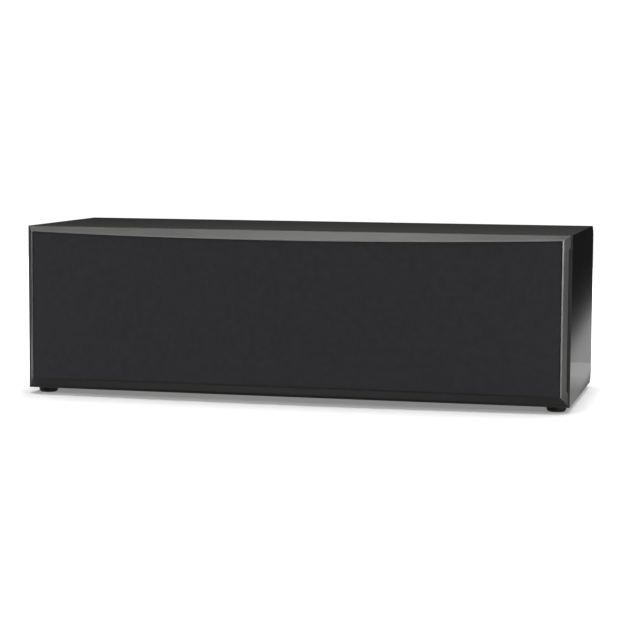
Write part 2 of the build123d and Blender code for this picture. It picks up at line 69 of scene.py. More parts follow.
wrap_edge_round = 0.0001

reveal_side = 0.0018
reveal_top = 0.0006
reveal_bottom = 0.0020
side_slope = math.tan(math.radians(29.8))
top_slope = math.tan(math.radians(21.3))
low_rise_middle = 0.0126
low_rise_end = 0.0101
bezel_gap = 0.0003
bezel_back_y = front_y - bezel_gap
front_bow = 0.012
rim_reach = 0.0124
front_reach = rim_reach + front_bow
rim_half_width = cabinet_width / 2 - reveal_side - rim_reach * side_slope
bow_radius = (rim_half_width**2 + front_bow**2) / (2 * front_bow)
rim_wall = 0.0016
long_rim_wall = 0.0010
rim_chamfer = 0.0009
rim_touch = 0.0003
wall_touch = 0.007
ledge_setback = 0.0058
ledge_width = 0.005
grip_depth = 0.0032
grip_reach = 0.0024
grip_low = 0.0235
grip_high = 0.1932
grip_cut = 0.010
bezel_edge_round = 0.0002

cloth_setback = 0.0005
cloth_gap = 0.0009
cloth_low_gap = 0.0004
cloth_top_gap = 0.0003
cloth_thickness = 0.00064
cloth_skirt = 0.0050
cloth_edge_round = 0.0006
frame_low_edge = 0.0236

woofer_x = 0.190
woofers = (("left", -woofer_x), ("right", woofer_x))
flange_front_y = -0.1183
surround_base_y = -0.1184
surround_height = 0.006
surround_inner = 0.056
surround_outer = 0.070
surround_landing = 0.003
surround_sheet = 0.0005
surround_lift = 0.0006
piston_land = 0.0045
piston_groove_side = 0.0012
piston_groove_depth = 0.0009
piston_flat = 0.0290
coil_ring_side = 0.0015
coil_ring_height = 0.0007
coil_ring_top = 0.0030
piston_edge_round = 0.0003
tweeter_front_y = -0.1193
casting_round = 0.0006
trim_round = 0.0009

screw_radius = 0.0026
screw_height = 0.0014
screw_round = 0.0007
screw_socket_radius = 0.0013
screw_socket_floor = 0.0006
screw_edge_round = 0.00008
screw_sides = 32
woofer_screws = 8
screw_circle = 0.0785
tweeter_screw_offset = 0.0440

foot_top_radius = 0.01175
foot_low_radius = 0.0100
foot_taper = 0.0030
foot_tread = 0.0040
foot_recess_side = 0.0004
foot_recess = 0.0022
foot_low_round = 0.0007
foot_shoulder_round = 0.0010
foot_x = 0.316
foot_front_y = -0.0943
foot_rear_y = 0.1157

post_x = 0.0095
nut_front_y = 0.114
nut_back_y = 0.124
nut_radius = 0.0066
nut_sides = 48
nut_bore_radius = 0.00308
flute_edge = 0.0004
flute_narrowing = 0.90
nut_face_rim = 0.0010
nut_dish_side = 0.0003
nut_dish = 0.0005
nut_edge_round = 0.00018
trim_y = 0.1387
screw_sink = 0.0015
counterbore_radius = 0.0028
counterbore_flare = 1.25
port_screw_across = 0.0520
port_screw_up = 0.0190
terminal_screw_across = 0.0478
terminal_screw_up = 0.0323

pad_width = 0.150
pad_depth = 0.156
pad_thickness = 0.020
pad_middle_y = 0.0217
pad_top = cabinet_top - wall
pad_swell = 0.0015
pad_edge_round = 0.004
pad_voxel = 0.005
puff_pressure = 4.0
puff_steps = 20


def clear_selection():
    """Leaves nothing selected, the CAD nodes included."""
    bpy.ops.object.select_all(action="DESELECT")


def take_up(piece):
    """Selects one piece and makes it the active one."""
    clear_selection()
    piece.select_set(True)
    bpy.context.view_layer.objects.active = piece


def settle(name):
    """Names the primitive just added, and puts its place and size into its mesh."""
    piece = bpy.context.active_object
    piece.name = name
    piece.data.name = name
    bpy.ops.object.transform_apply(location=True, rotation=True, scale=True)
    return piece


def start_block(name, size, middle):
    clear_selection()
    bpy.ops.mesh.primitive_cube_add(size=1.0, location=middle, scale=size)
    return settle(name)


def start_round(name, radius, front, back, x, z, sides=64):
    """Starts a piece from a cylinder that lies front to back."""
    clear_selection()
    bpy.ops.mesh.primitive_cylinder_add(
        vertices=sides,
        radius=radius,
        depth=back - front,
        location=(x, (front + back) / 2, z),
        rotation=(math.pi / 2, 0.0, 0.0),
    )
    return settle(name)


def begin_shaping(piece):
    take_up(piece)
    bpy.ops.object.mode_set(mode="EDIT")
    bpy.ops.mesh.select_all(action="DESELECT")


def end_shaping():
    bpy.ops.object.mode_set(mode="OBJECT")


def pick_faces(piece, wanted):
    """Selects the faces whose middle and normal are wanted."""
    bpy.ops.mesh.select_mode(type="FACE")
    bpy.ops.mesh.select_all(action="DESELECT")
    mesh = bmesh.from_edit_mesh(piece.data)
    for face in mesh.faces:
        face.select_set(wanted(face.calc_center_median(), face.normal))
    bmesh.update_edit_mesh(piece.data)


def pick_edges(piece, wanted):
    """Selects the edges whose two ends are wanted."""
    bpy.ops.mesh.select_mode(type="EDGE")
    bpy.ops.mesh.select_all(action="DESELECT")
    mesh = bmesh.from_edit_mesh(piece.data)
    for edge in mesh.edges:
        edge.select_set(wanted(edge.verts[0].co, edge.verts[1].co))
    bmesh.update_edit_mesh(piece.data)


def apply_modifier(piece, kind, **settings):
    take_up(piece)
    modifier = piece.modifiers.new(kind.lower(), kind)
    for key, value in settings.items():
        setattr(modifier, key, value)
    bpy.ops.object.modifier_apply(modifier=modifier.name)


def shade(piece, angle=35.0):
    """Smooth shading with the flat faces kept flat."""
    take_up(piece)
    bpy.ops.object.shade_smooth_by_angle(angle=math.radians(angle))
    apply_modifier(piece, "WEIGHTED_NORMAL", keep_sharp=True)


def soften(piece, width, segments=2, angle=30.0):
    """Rounds every sharp edge a little, as a mould or a sanding block leaves it."""
    apply_modifier(
        piece,
        "BEVEL",
        width=width,
        segments=segments,
        limit_method="ANGLE",
        angle_limit=math.radians(angle),
    )
    shade(piece)


def merged_copy(node, name, whole_faces=True):
    """A new piece in the shape of a CAD node, with its flat triangles joined into whole faces."""
    piece = bpy.data.objects.new(name, nodes[node].data.copy())
    piece.data.name = name
    piece.data.materials.clear()
    bpy.context.scene.collection.objects.link(piece)
    take_up(piece)
    bpy.ops.mesh.customdata_custom_splitnormals_clear()
    begin_shaping(piece)
    bpy.ops.mesh.select_all(action="SELECT")
    bpy.ops.mesh.remove_doubles(threshold=0.00001)
    if whole_faces:
        bpy.ops.mesh.dissolve_limited(angle_limit=math.radians(0.4))
    end_shaping()
    return piece


def copy_piece(piece, name, move):
    """A copy with its own mesh, moved by a matrix."""
    twin = piece.copy()
    twin.data = piece.data.copy()
    twin.name = name
    twin.data.name = name
    twin.data.transform(move)
    bpy.context.scene.collection.objects.link(twin)
    return twin


def cut_away(piece, tool):
    """Takes the tool's room out of the piece and throws the tool away."""
    apply_modifier(piece, "BOOLEAN", operation="DIFFERENCE", object=tool, solver="EXACT")
    bpy.data.objects.remove(tool)


def dress(piece, finish, slot, body, *stands_for):
    """Gives a finished piece its finish and the body it rides on, and hides the solids it stands for."""
    piece.data.materials.clear()
    piece.data.materials.append(finish)
    if body:
        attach(piece, body)
    if stands_for:
        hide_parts(*stands_for)


# Finishes. A pattern reads the piece's own coordinates, in metres.


def shader_of(finish):
    return finish.node_tree.nodes["Principled BSDF"]


def new_finish(name, colour, roughness, metallic=0.0):
    finish = bpy.data.materials.new(name)
    finish.use_nodes = True
    shader = shader_of(finish)
    shader.inputs["Base Color"].default_value = (*colour, 1.0)
    shader.inputs["Roughness"].default_value = roughness
    shader.inputs["Metallic"].default_value = metallic
    finish.diffuse_color = (*colour, 1.0)
    return finish


def places_of(finish, stretch=(1.0, 1.0, 1.0), turn=(0.0, 0.0, 0.0)):
    """The piece's own coordinates, stretched and turned."""
    tree = finish.node_tree
    places = tree.nodes.new("ShaderNodeTexCoord")
    mapping = tree.nodes.new("ShaderNodeMapping")
    mapping.inputs["Scale"].default_value = stretch
    mapping.inputs["Rotation"].default_value = turn
    tree.links.new(places.outputs["Object"], mapping.inputs["Vector"])
    return mapping.outputs["Vector"]


def speckle(finish, scale, detail=2.0, stretch=(1.0, 1.0, 1.0)):
    """Cloudy noise."""
    tree = finish.node_tree
    noise = tree.nodes.new("ShaderNodeTexNoise")
    noise.inputs["Scale"].default_value = scale
    noise.inputs["Detail"].default_value = detail
    tree.links.new(places_of(finish, stretch), noise.inputs["Vector"])
    return noise.outputs["Fac"]


def lattice(finish, scale, turn=(0.0, 0.0, 0.0), stretch=(1.0, 1.0, 1.0)):
    """A regular lattice of cells, dark in each cell's middle."""
    tree = finish.node_tree
    cells = tree.nodes.new("ShaderNodeTexVoronoi")
    cells.inputs["Scale"].default_value = scale
    cells.inputs["Randomness"].default_value = 0.0
    tree.links.new(places_of(finish, stretch, turn), cells.inputs["Vector"])
    return cells.outputs["Distance"]


def ripples(finish, pitch, direction):
    """Even ridges, a pitch apart, counted along one of the axes."""
    tree = finish.node_tree
    wave = tree.nodes.new("ShaderNodeTexWave")
    wave.wave_type = "BANDS"
    wave.bands_direction = direction
    wave.inputs["Scale"].default_value = math.tau / (20.0 * pitch)
    tree.links.new(places_of(finish), wave.inputs["Vector"])
    return wave.outputs["Fac"]


def vary_colour(finish, pattern, dark, light, low=0.3, high=0.7):
    """Runs the colour between two shades along a pattern."""
    tree = finish.node_tree
    ramp = tree.nodes.new("ShaderNodeValToRGB")
    ramp.color_ramp.elements[0].position = low
    ramp.color_ramp.elements[0].color = (*dark, 1.0)
    ramp.color_ramp.elements[1].position = high
    ramp.color_ramp.elements[1].color = (*light, 1.0)
    tree.links.new(pattern, ramp.inputs["Fac"])
    tree.links.new(ramp.outputs["Color"], shader_of(finish).inputs["Base Color"])


def vary_roughness(finish, pattern, low, high):
    tree = finish.node_tree
    spread = tree.nodes.new("ShaderNodeMapRange")
    spread.inputs["From Min"].default_value = 0.3
    spread.inputs["From Max"].default_value = 0.7
    spread.inputs["To Min"].default_value = low
    spread.inputs["To Max"].default_value = high
    tree.links.new(pattern, spread.inputs["Value"])
    tree.links.new(spread.outputs["Result"], shader_of(finish).inputs["Roughness"])


def raise_pattern(finish, pattern, strength, depth):
    """Lets a pattern stand up from the surface by depth."""
    tree = finish.node_tree
    bump = tree.nodes.new("ShaderNodeBump")
    bump.inputs["Strength"].default_value = strength
    bump.inputs["Distance"].default_value = depth
    tree.links.new(pattern, bump.inputs["Height"])
    tree.links.new(bump.outputs["Normal"], shader_of(finish).inputs["Normal"])


def combine(tree, operation, first, second):
    """One number out of two, each a socket or a plain number."""
    node = tree.nodes.new("ShaderNodeMath")
    node.operation = operation
    for socket, value in zip(node.inputs, (first, second)):
        if isinstance(value, float):
            socket.default_value = value
        else:
            tree.links.new(value, socket)
    return node.outputs["Value"]


def make_gloss_lacquer():
    finish = new_finish("gloss_lacquer", (0.0040, 0.0042, 0.0044), 0.04)
    shader_of(finish).inputs["IOR"].default_value = 1.52
    vary_roughness(finish, speckle(finish, 22.0, 3.0), 0.03, 0.055)
    raise_pattern(finish, speckle(finish, 190.0, 1.0), 0.006, 0.0001)
    return finish


def make_satin_black():
    finish = new_finish("satin_black", (0.095, 0.095, 0.095), 0.55)
    vary_colour(finish, speckle(finish, 900.0, 3.0), (0.085, 0.085, 0.085), (0.107, 0.107, 0.107))
    vary_roughness(finish, speckle(finish, 60.0, 3.0), 0.5, 0.62)
    raise_pattern(finish, speckle(finish, 1500.0, 2.0), 0.12, 0.0001)
    return finish


def make_satin_gunmetal():
    finish = new_finish("satin_gunmetal", (0.148, 0.147, 0.143), 0.38, 0.8)
    vary_colour(finish, speckle(finish, 1800.0, 2.0), (0.138, 0.137, 0.133), (0.158, 0.157, 0.153))
    vary_roughness(finish, speckle(finish, 60.0, 3.0), 0.35, 0.42)
    raise_pattern(finish, speckle(finish, 2400.0, 1.0), 0.06, 0.0001)
    return finish


def make_black_knit():
    finish = new_finish("black_knit", (0.030, 0.030, 0.032), 0.92)
    loops = lattice(finish, 1150.0, (0.0, math.radians(45.0), 0.0), (1.0, 0.0, 1.0))
    mottle = combine(finish.node_tree, "MULTIPLY", speckle(finish, 110.0, 5.0), 0.4)
    yarn = combine(finish.node_tree, "ADD", loops, mottle)
    vary_colour(finish, yarn, (0.044, 0.044, 0.048), (0.079, 0.079, 0.088), 0.3, 0.8)
    raise_pattern(finish, loops, 0.3, 0.0003)
    shader_of(finish).inputs["Sheen Weight"].default_value = 0.3
    shader_of(finish).inputs["Sheen Tint"].default_value = (0.94, 0.94, 1.0, 1.0)
    shader_of(finish).inputs["Sheen Roughness"].default_value = 0.5
    shader_of(finish).inputs["Specular IOR Level"].default_value = 0.2
    return finish


def make_rubber():
    finish = new_finish("soft_rubber", (0.018, 0.018, 0.019), 0.62)
    vary_colour(finish, speckle(finish, 700.0, 3.0), (0.014, 0.014, 0.015), (0.024, 0.024, 0.025))
    vary_roughness(finish, speckle(finish, 120.0, 2.0), 0.55, 0.70)
    raise_pattern(finish, speckle(finish, 1500.0, 2.0), 0.15, 0.0001)
    return finish


def make_vinyl():
    finish = new_finish("black_vinyl", (0.012, 0.012, 0.013), 0.5)
    vary_colour(finish, speckle(finish, 900.0, 3.0), (0.009, 0.009, 0.010), (0.016, 0.016, 0.017))
    vary_roughness(finish, speckle(finish, 40.0, 3.0), 0.42, 0.55)
    raise_pattern(finish, speckle(finish, 1100.0, 3.0), 0.25, 0.00015)
    return finish


def make_fibreboard():
    finish = new_finish("fibreboard", (0.36, 0.25, 0.15), 0.85)
    fibres = speckle(finish, 420.0, 6.0, (1.0, 3.0, 1.0))
    vary_colour(finish, fibres, (0.28, 0.18, 0.10), (0.46, 0.33, 0.21))
    raise_pattern(finish, speckle(finish, 1500.0, 3.0), 0.3, 0.0002)
    return finish


def make_moulded_plastic():
    finish = new_finish("moulded_plastic", (0.016, 0.016, 0.017), 0.45)
    vary_colour(finish, speckle(finish, 300.0, 2.0), (0.013, 0.013, 0.014), (0.020, 0.020, 0.021))
    vary_roughness(finish, speckle(finish, 80.0, 2.0), 0.38, 0.50)
    raise_pattern(finish, speckle(finish, 1900.0, 2.0), 0.18, 0.0001)
    return finish


def make_powder_coat():
    finish = new_finish("powder_coat", (0.030, 0.030, 0.031), 0.5, 0.1)
    vary_colour(finish, speckle(finish, 1300.0, 2.0), (0.024, 0.024, 0.025), (0.038, 0.038, 0.039))
    vary_roughness(finish, speckle(finish, 300.0, 2.0), 0.44, 0.58)
    raise_pattern(finish, speckle(finish, 1400.0, 2.0), 0.3, 0.00015)
    return finish


def make_zinc_steel():
    finish = new_finish("zinc_steel", (0.52, 0.53, 0.55), 0.34, 1.0)
    vary_colour(finish, speckle(finish, 160.0, 4.0), (0.42, 0.43, 0.46), (0.60, 0.60, 0.61))
    vary_roughness(finish, speckle(finish, 240.0, 3.0), 0.26, 0.42)
    raise_pattern(finish, speckle(finish, 900.0, 2.0), 0.08, 0.0001)
    return finish


def make_diaphragm_fibre():
    finish = new_finish("diaphragm_fibre", (0.030, 0.031, 0.033), 0.45)
    weave = lattice(finish, 420.0, (0.0, math.radians(45.0), 0.0), (1.0, 0.0, 1.0))
    vary_colour(finish, weave, (0.018, 0.018, 0.020), (0.048, 0.048, 0.051), 0.15, 0.6)
    raise_pattern(finish, weave, 0.2, 0.0002)
    shader_of(finish).inputs["Coat Weight"].default_value = 0.35
    shader_of(finish).inputs["Coat Roughness"].default_value = 0.2
    return finish


def make_foil_film():
    finish = new_finish("foil_film", (0.52, 0.29, 0.08), 0.3)
    tracks = ripples(finish, 0.0024, "Z")
    vary_colour(finish, tracks, (0.50, 0.26, 0.06), (0.72, 0.70, 0.66), 0.45, 0.55)
    vary_roughness(finish, speckle(finish, 300.0, 2.0), 0.22, 0.38)
    return finish


def make_ferrite():
    finish = new_finish("ferrite", (0.040, 0.039, 0.040), 0.6)
    vary_colour(finish, speckle(finish, 500.0, 5.0), (0.028, 0.027, 0.028), (0.055, 0.054, 0.055))
    raise_pattern(finish, speckle(finish, 1600.0, 3.0), 0.25, 0.0001)
    return finish


def make_gilt_brass():
    finish = new_finish("gilt_brass", (0.83, 0.60, 0.24), 0.24, 1.0)
    vary_colour(finish, speckle(finish, 260.0, 3.0), (0.76, 0.52, 0.19), (0.90, 0.68, 0.31))
    raise_pattern(finish, ripples(finish, 0.0008, "Y"), 0.35, 0.00012)
    return finish


def make_cap(name, colour, pale):
    finish = new_finish(name, colour, 0.3)
    vary_colour(finish, speckle(finish, 420.0, 2.0), colour, pale)
    vary_roughness(finish, speckle(finish, 150.0, 2.0), 0.24, 0.38)
    shader_of(finish).inputs["Coat Weight"].default_value = 0.25
    return finish


def make_circuit_board():
    finish = new_finish("circuit_board", (0.010, 0.090, 0.040), 0.4)
    tracks = lattice(finish, 110.0)
    vary_colour(finish, tracks, (0.016, 0.130, 0.058), (0.007, 0.062, 0.028), 0.30, 0.34)
    raise_pattern(finish, tracks, 0.2, 0.0001)
    return finish


def make_copper_winding():
    finish = new_finish("copper_winding", (0.62, 0.26, 0.10), 0.3, 0.85)
    turns = ripples(finish, 0.0014, "Z")
    vary_colour(finish, turns, (0.36, 0.13, 0.045), (0.72, 0.33, 0.14), 0.1, 0.6)
    raise_pattern(finish, turns, 0.7, 0.0004)
    return finish


def make_capacitor_film():
    finish = new_finish("capacitor_film", (0.58, 0.36, 0.05), 0.35)
    wrinkles = speckle(finish, 90.0, 3.0, (0.2, 1.0, 1.0))
    vary_colour(finish, wrinkles, (0.50, 0.29, 0.035), (0.66, 0.43, 0.08))
    raise_pattern(finish, speckle(finish, 260.0, 2.0, (0.2, 1.0, 1.0)), 0.2, 0.0002)
    return finish


def make_cement():
    finish = new_finish("resistor_cement", (0.72, 0.70, 0.66), 0.9)
    vary_colour(finish, speckle(finish, 800.0, 5.0), (0.60, 0.58, 0.54), (0.80, 0.78, 0.74))
    raise_pattern(finish, speckle(finish, 1200.0, 4.0), 0.5, 0.0002)
    return finish


def make_wadding():
    finish = new_finish("wadding", (0.55, 0.55, 0.53), 1.0)
    tangle = speckle(finish, 260.0, 8.0, (1.0, 0.35, 1.0))
    vary_colour(finish, tangle, (0.40, 0.40, 0.39), (0.68, 0.68, 0.66))
    raise_pattern(finish, tangle, 0.9, 0.0015)
    shader_of(finish).inputs["Sheen Weight"].default_value = 0.6
    shader_of(finish).inputs["Sheen Roughness"].default_value = 0.7
    return finish


gloss_lacquer = make_gloss_lacquer()
satin_black = make_satin_black()
satin_gunmetal = make_satin_gunmetal()
black_knit = make_black_knit()
soft_rubber = make_rubber()
black_vinyl = make_vinyl()
fibreboard = make_fibreboard()
moulded_plastic = make_moulded_plastic()
powder_coat = make_powder_coat()
zinc_steel = make_zinc_steel()
diaphragm_fibre = make_diaphragm_fibre()
foil_film = make_foil_film()
ferrite = make_ferrite()
gilt_brass = make_gilt_brass()
red_plastic = make_cap("red_plastic", (0.42, 0.010, 0.012), (0.52, 0.018, 0.018))
black_plastic = make_cap("black_plastic", (0.010, 0.010, 0.011), (0.016, 0.016, 0.017))
circuit_board = make_circuit_board()
copper_winding = make_copper_winding()
capacitor_film = make_capacitor_film()
resistor_cement = make_cement()
wadding = make_wadding()

# Solids that keep their own shape take a finish.
kept_solids = {
    "front_baffle": black_vinyl,
    "rear_panel": black_vinyl,
    "cabinet_braces": fibreboard,
    "peg_cups": soft_rubber,
    "woofer_motors": zinc_steel,
    "tweeter_film": foil_film,
    "tweeter_magnets": ferrite,
    "tweeter_back_plate": zinc_steel,
    "binding_posts": gilt_brass,
    "red_washer": gilt_brass,
    "black_washer": gilt_brass,
    "crossover_board": circuit_board,
    "crossover_standoffs": moulded_plastic,
    "crossover_inductors": copper_winding,
    "crossover_capacitors": capacitor_film,
    "crossover_resistors": resistor_cement,
}
for node, finish in kept_solids.items():
    nodes[node].data.materials.clear()
    nodes[node].data.materials.append(finish)


def make_gloss_wrap():
    """The cabinet's lacquered wrap, open at front and rear, and the satin band on its front edge."""
    size = Vector((cabinet_width, cabinet_depth, cabinet_height))
    wrap = start_block("gloss_wrap", size, cabinet_middle)
    begin_shaping(wrap)
    pick_edges(wrap, lambda a, b: min(a.y, b.y) > rear_y - hair and abs(a.z - b.z) < hair)
    bpy.ops.mesh.bevel(offset=rear_round, segments=14, affect="EDGES")
    end_shaping()
    opening = size + Vector((-2 * wall, cabinet_depth, -2 * wall))
    cut_away(wrap, start_block("wrap_opening", opening, cabinet_middle))
    band = copy_piece(wrap, "front_edge_band", Matrix())
    for piece, keep_front in ((wrap, False), (band, True)):
        begin_shaping(piece)
        bpy.ops.mesh.select_all(action="SELECT")
        bpy.ops.mesh.bisect(
            plane_co=(0.0, front_y + band_depth, 0.0),
            plane_no=(0.0, 1.0, 0.0),
            use_fill=True,
            clear_inner=not keep_front,
            clear_outer=keep_front,
        )
        end_shaping()
    soften(wrap, wrap_edge_round, 2, 40.0)
    soften(band, wrap_edge_round, 2, 40.0)
    dress(wrap, gloss_lacquer, "gloss_lacquer", "cabinet", "cabinet_shell")
    dress(band, satin_black, "black_board", "cabinet", "cabinet_shell")


def bow_y(x, setback):
    """Depth of the grille's bowed front at x, set back from its rim."""
    return front_y - front_reach + setback + bow_radius - math.sqrt(bow_radius**2 - x**2)


def end_at(y):
    """Half the bezel's width at depth y, over its sloping end faces."""
    return cabinet_width / 2 - reveal_side - (bezel_back_y - y) * side_slope


def top_at(y):
    """Height of the bezel's top face at depth y."""
    return cabinet_top - reveal_top - (bezel_back_y - y) * top_slope


def bottom_slope_at(x):
    """Slope of the bezel's bottom face, which is steeper towards its ends."""
    rise = low_rise_middle + (low_rise_end - low_rise_middle) * (x / rim_half_width) ** 2
    return rise / (bezel_back_y - bow_y(x, 0.0))


def bottom_at(x, y):
    """Height of the bezel's twisted bottom face at x and depth y."""
    return cabinet_bottom + reveal_bottom + (bezel_back_y - y) * bottom_slope_at(x)


def edges_near(point, reach):
    """Which end and which long edge of the grille a point is within reach of: -1, 0 or 1 for each."""
    across = math.copysign(1.0, point.x) if abs(point.x) > end_at(point.y) - reach else 0.0
    if point.z > top_at(point.y) - reach:
        return across, 1.0
    if point.z < bottom_at(point.x, point.y) + reach:
        return across, -1.0
    return across, 0.0


def on_outer_rim(point):
    """True on the front edge of one of the bezel's four sloping faces."""
    return point.y < bow_y(point.x, rim_touch) and edges_near(point, rim_touch) != (0.0, 0.0)


def along_slopes(point, y):
    """Follows the sloping faces from a point of an edge loop back to depth y."""
    across, upwards = edges_near(point, wall_touch)
    run = y - point.y
    spread = run * (top_slope if upwards > 0.0 else bottom_slope_at(point.x))
    return Vector((point.x + across * run * side_slope, y, point.z + upwards * spread))


def onto_ledge(point):
    """Steps in from the bezel's wall, over its ledge."""
    across, upwards = edges_near(point, wall_touch)
    return point - Vector((across * ledge_width, 0.0, upwards * ledge_width))


def start_bowed(name, columns, rows, setback, end_inset, top_inset, bottom_inset):
    """Starts a piece as a bowed sheet, inset from the bezel's sloping faces.

    Its width depends on how far back the bow is at its ends, so a few rounds settle it.
    """
    half_width = rim_half_width
    for _ in range(8):
        half_width = end_at(bow_y(half_width, setback)) - end_inset
    clear_selection()
    bpy.ops.mesh.primitive_grid_add(
        x_subdivisions=columns,
        y_subdivisions=rows,
        size=2.0,
        rotation=(math.pi / 2, 0.0, 0.0),
    )
    sheet = settle(name)
    for point in sheet.data.vertices:
        x = point.co.x * half_width
        y = bow_y(x, setback)
        low = bottom_at(x, y) + bottom_inset
        high = top_at(y) - top_inset
        point.co = (x, y, low + (high - low) * (point.co.z + 1.0) / 2)
    return sheet


def draw_out(piece, moved):
    """Extrudes the selected edges, and puts each new point where moved says."""
    bpy.ops.mesh.extrude_edges_move()
    mesh = bmesh.from_edit_mesh(piece.data)
    for point in mesh.verts:
        if point.select:
            point.co = moved(point.co)
    bmesh.update_edit_mesh(piece.data)


def cut_grip(bezel, end):
    """Cuts the finger slot into one end of the bezel, open at the back and with slanting ends."""
    past = 0.001
    length = grip_high - grip_low + 2 * past
    inner = cabinet_width / 2 - reveal_side - grip_reach
    middle = (
        end * (inner + grip_cut / 2),
        bezel_back_y + (past - grip_depth) / 2,
        (grip_high + grip_low) / 2,
    )
    slot = start_block("grip_slot", (grip_cut, grip_depth + past, length), middle)
    begin_shaping(slot)
    pick_faces(slot, lambda place, normal: normal.y < -0.9)
    shorter = (grip_high - grip_low - 2 * grip_depth) / length
    bpy.ops.transform.resize(value=(1.0, 1.0, shorter), center_override=middle)
    end_shaping()
    cut_away(bezel, slot)


def make_bezel():
    """The grille's bezel: a chamfered rim, four sloping faces, and a wall with a ledge behind."""
    bezel = start_bowed("gunmetal_bezel", 64, 1, 0.0, 0.0, 0.0, 0.0)
    begin_shaping(bezel)
    bpy.ops.mesh.select_all(action="SELECT")
    bpy.ops.mesh.inset(thickness=rim_wall)
    bpy.ops.mesh.delete(type="FACE")
    for upwards in (-1.0, 1.0):
        pick_edges(
            bezel,
            lambda a, b: not on_outer_rim(a)
            and not on_outer_rim(b)
            and min((a.z - axis_z) * upwards, (b.z - axis_z) * upwards) > 0.0,
        )
        bpy.ops.transform.translate(value=(0.0, 0.0, upwards * (rim_wall - long_rim_wall)))
    pick_edges(bezel, lambda a, b: not on_outer_rim(a) and not on_outer_rim(b))
    draw_out(bezel, lambda point: along_slopes(point, point.y + ledge_setback))
    draw_out(bezel, onto_ledge)
    draw_out(bezel, lambda point: along_slopes(point, bezel_back_y))
    pick_edges(bezel, lambda a, b: on_outer_rim(a) and on_outer_rim(b))
    draw_out(bezel, lambda point: along_slopes(point, bezel_back_y))
    pick_edges(bezel, lambda a, b: min(a.y, b.y) > bezel_back_y - hair)
    bpy.ops.mesh.bridge_edge_loops()
    bpy.ops.mesh.select_all(action="SELECT")
    bpy.ops.mesh.normals_make_consistent(inside=False)
    pick_edges(bezel, lambda a, b: on_outer_rim(a) and on_outer_rim(b))
    bpy.ops.mesh.bevel(offset=rim_chamfer, segments=1, affect="EDGES")
    end_shaping()
    for end in (-1.0, 1.0):
        cut_grip(bezel, end)
    soften(bezel, bezel_edge_round, 2, 25.0)
    dress(bezel, satin_gunmetal, "gunmetal", "grille", "grille_bezel")


def make_cloth_frame():
    """The frame behind the cloth, with its low bar trimmed to sit inside the bezel."""
    frame_piece = merged_copy("grille_frame", "cloth_frame", whole_faces=False)
    begin_shaping(frame_piece)
    bpy.ops.mesh.select_all(action="SELECT")
    bpy.ops.mesh.bisect(
        plane_co=(0.0, 0.0, frame_low_edge),
        plane_no=(0.0, 0.0, 1.0),
        use_fill=True,
        clear_inner=True,
    )
    end_shaping()
    shade(frame_piece)
    dress(frame_piece, moulded_plastic, "black_plastic", "grille", "grille_frame")


def make_knit_cloth():
    """The cloth, stretched over the bowed frame and down its edges."""
    end_inset = rim_wall + cloth_gap
    top_inset = long_rim_wall + cloth_top_gap
    bottom_inset = long_rim_wall + cloth_low_gap
    cloth = start_bowed("knit_cloth", 120, 36, cloth_setback, end_inset, top_inset, bottom_inset)
    begin_shaping(cloth)
    bpy.ops.mesh.select_all(action="SELECT")
    bpy.ops.mesh.region_to_loop()
    draw_out(cloth, lambda point: along_slopes(point, point.y + cloth_skirt))
    end_shaping()
    apply_modifier(
        cloth,
        "BEVEL",
        width=cloth_edge_round,
        segments=3,
        limit_method="ANGLE",
        angle_limit=math.radians(40.0),
    )
    apply_modifier(cloth, "SOLIDIFY", thickness=cloth_thickness, offset=-1.0)
    shade(cloth, 50.0)
    dress(cloth, black_knit, "grille_cloth", "grille", "grille_cloth")


def make_feet():
    """One turned rubber foot, and its three copies."""
    clear_selection()
    bpy.ops.mesh.primitive_cylinder_add(
        vertices=64,
        radius=foot_top_radius,
        depth=cabinet_bottom,
        location=(-foot_x, foot_front_y, cabinet_bottom / 2),
    )
    foot = settle("foot_front_left")
    middle = Vector((-foot_x, foot_front_y, 0.0))

    def on_low_edge(point):
        return point.z < hair and (point - middle).length > 0.9 * foot_low_radius

    begin_shaping(foot)
    pick_faces(foot, lambda place, normal: normal.z < -0.9)
    bpy.ops.transform.translate(value=(0.0, 0.0, foot_taper))
    bpy.ops.mesh.extrude_region_move(TRANSFORM_OT_translate={"value": (0.0, 0.0, -foot_taper)})
    narrowing = foot_low_radius / foot_top_radius
    bpy.ops.transform.resize(value=(narrowing, narrowing, 1.0), center_override=middle)
    bpy.ops.mesh.inset(thickness=foot_tread)
    bpy.ops.mesh.inset(thickness=foot_recess_side)
    bpy.ops.transform.translate(value=(0.0, 0.0, foot_recess))
    pick_edges(foot, lambda a, b: on_low_edge(a) and on_low_edge(b))
    bpy.ops.mesh.bevel(offset=foot_low_round, segments=4, affect="EDGES")
    pick_edges(foot, lambda a, b: abs(a.z - foot_taper) < hair and abs(b.z - foot_taper) < hair)
    bpy.ops.mesh.bevel(offset=foot_shoulder_round, segments=4, affect="EDGES")
    end_shaping()
    shade(foot)
    dress(foot, soft_rubber, "rubber", None)
    places = {
        "foot_front_right": (2 * foot_x, 0.0, 0.0),
        "foot_rear_left": (0.0, foot_rear_y - foot_front_y, 0.0),
        "foot_rear_right": (2 * foot_x, foot_rear_y - foot_front_y, 0.0),
    }
    feet = [foot]
    for name, shift in places.items():
        feet.append(copy_piece(foot, name, Matrix.Translation(shift)))
    for one in feet:
        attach(one, "cabinet")
        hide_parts("feet")


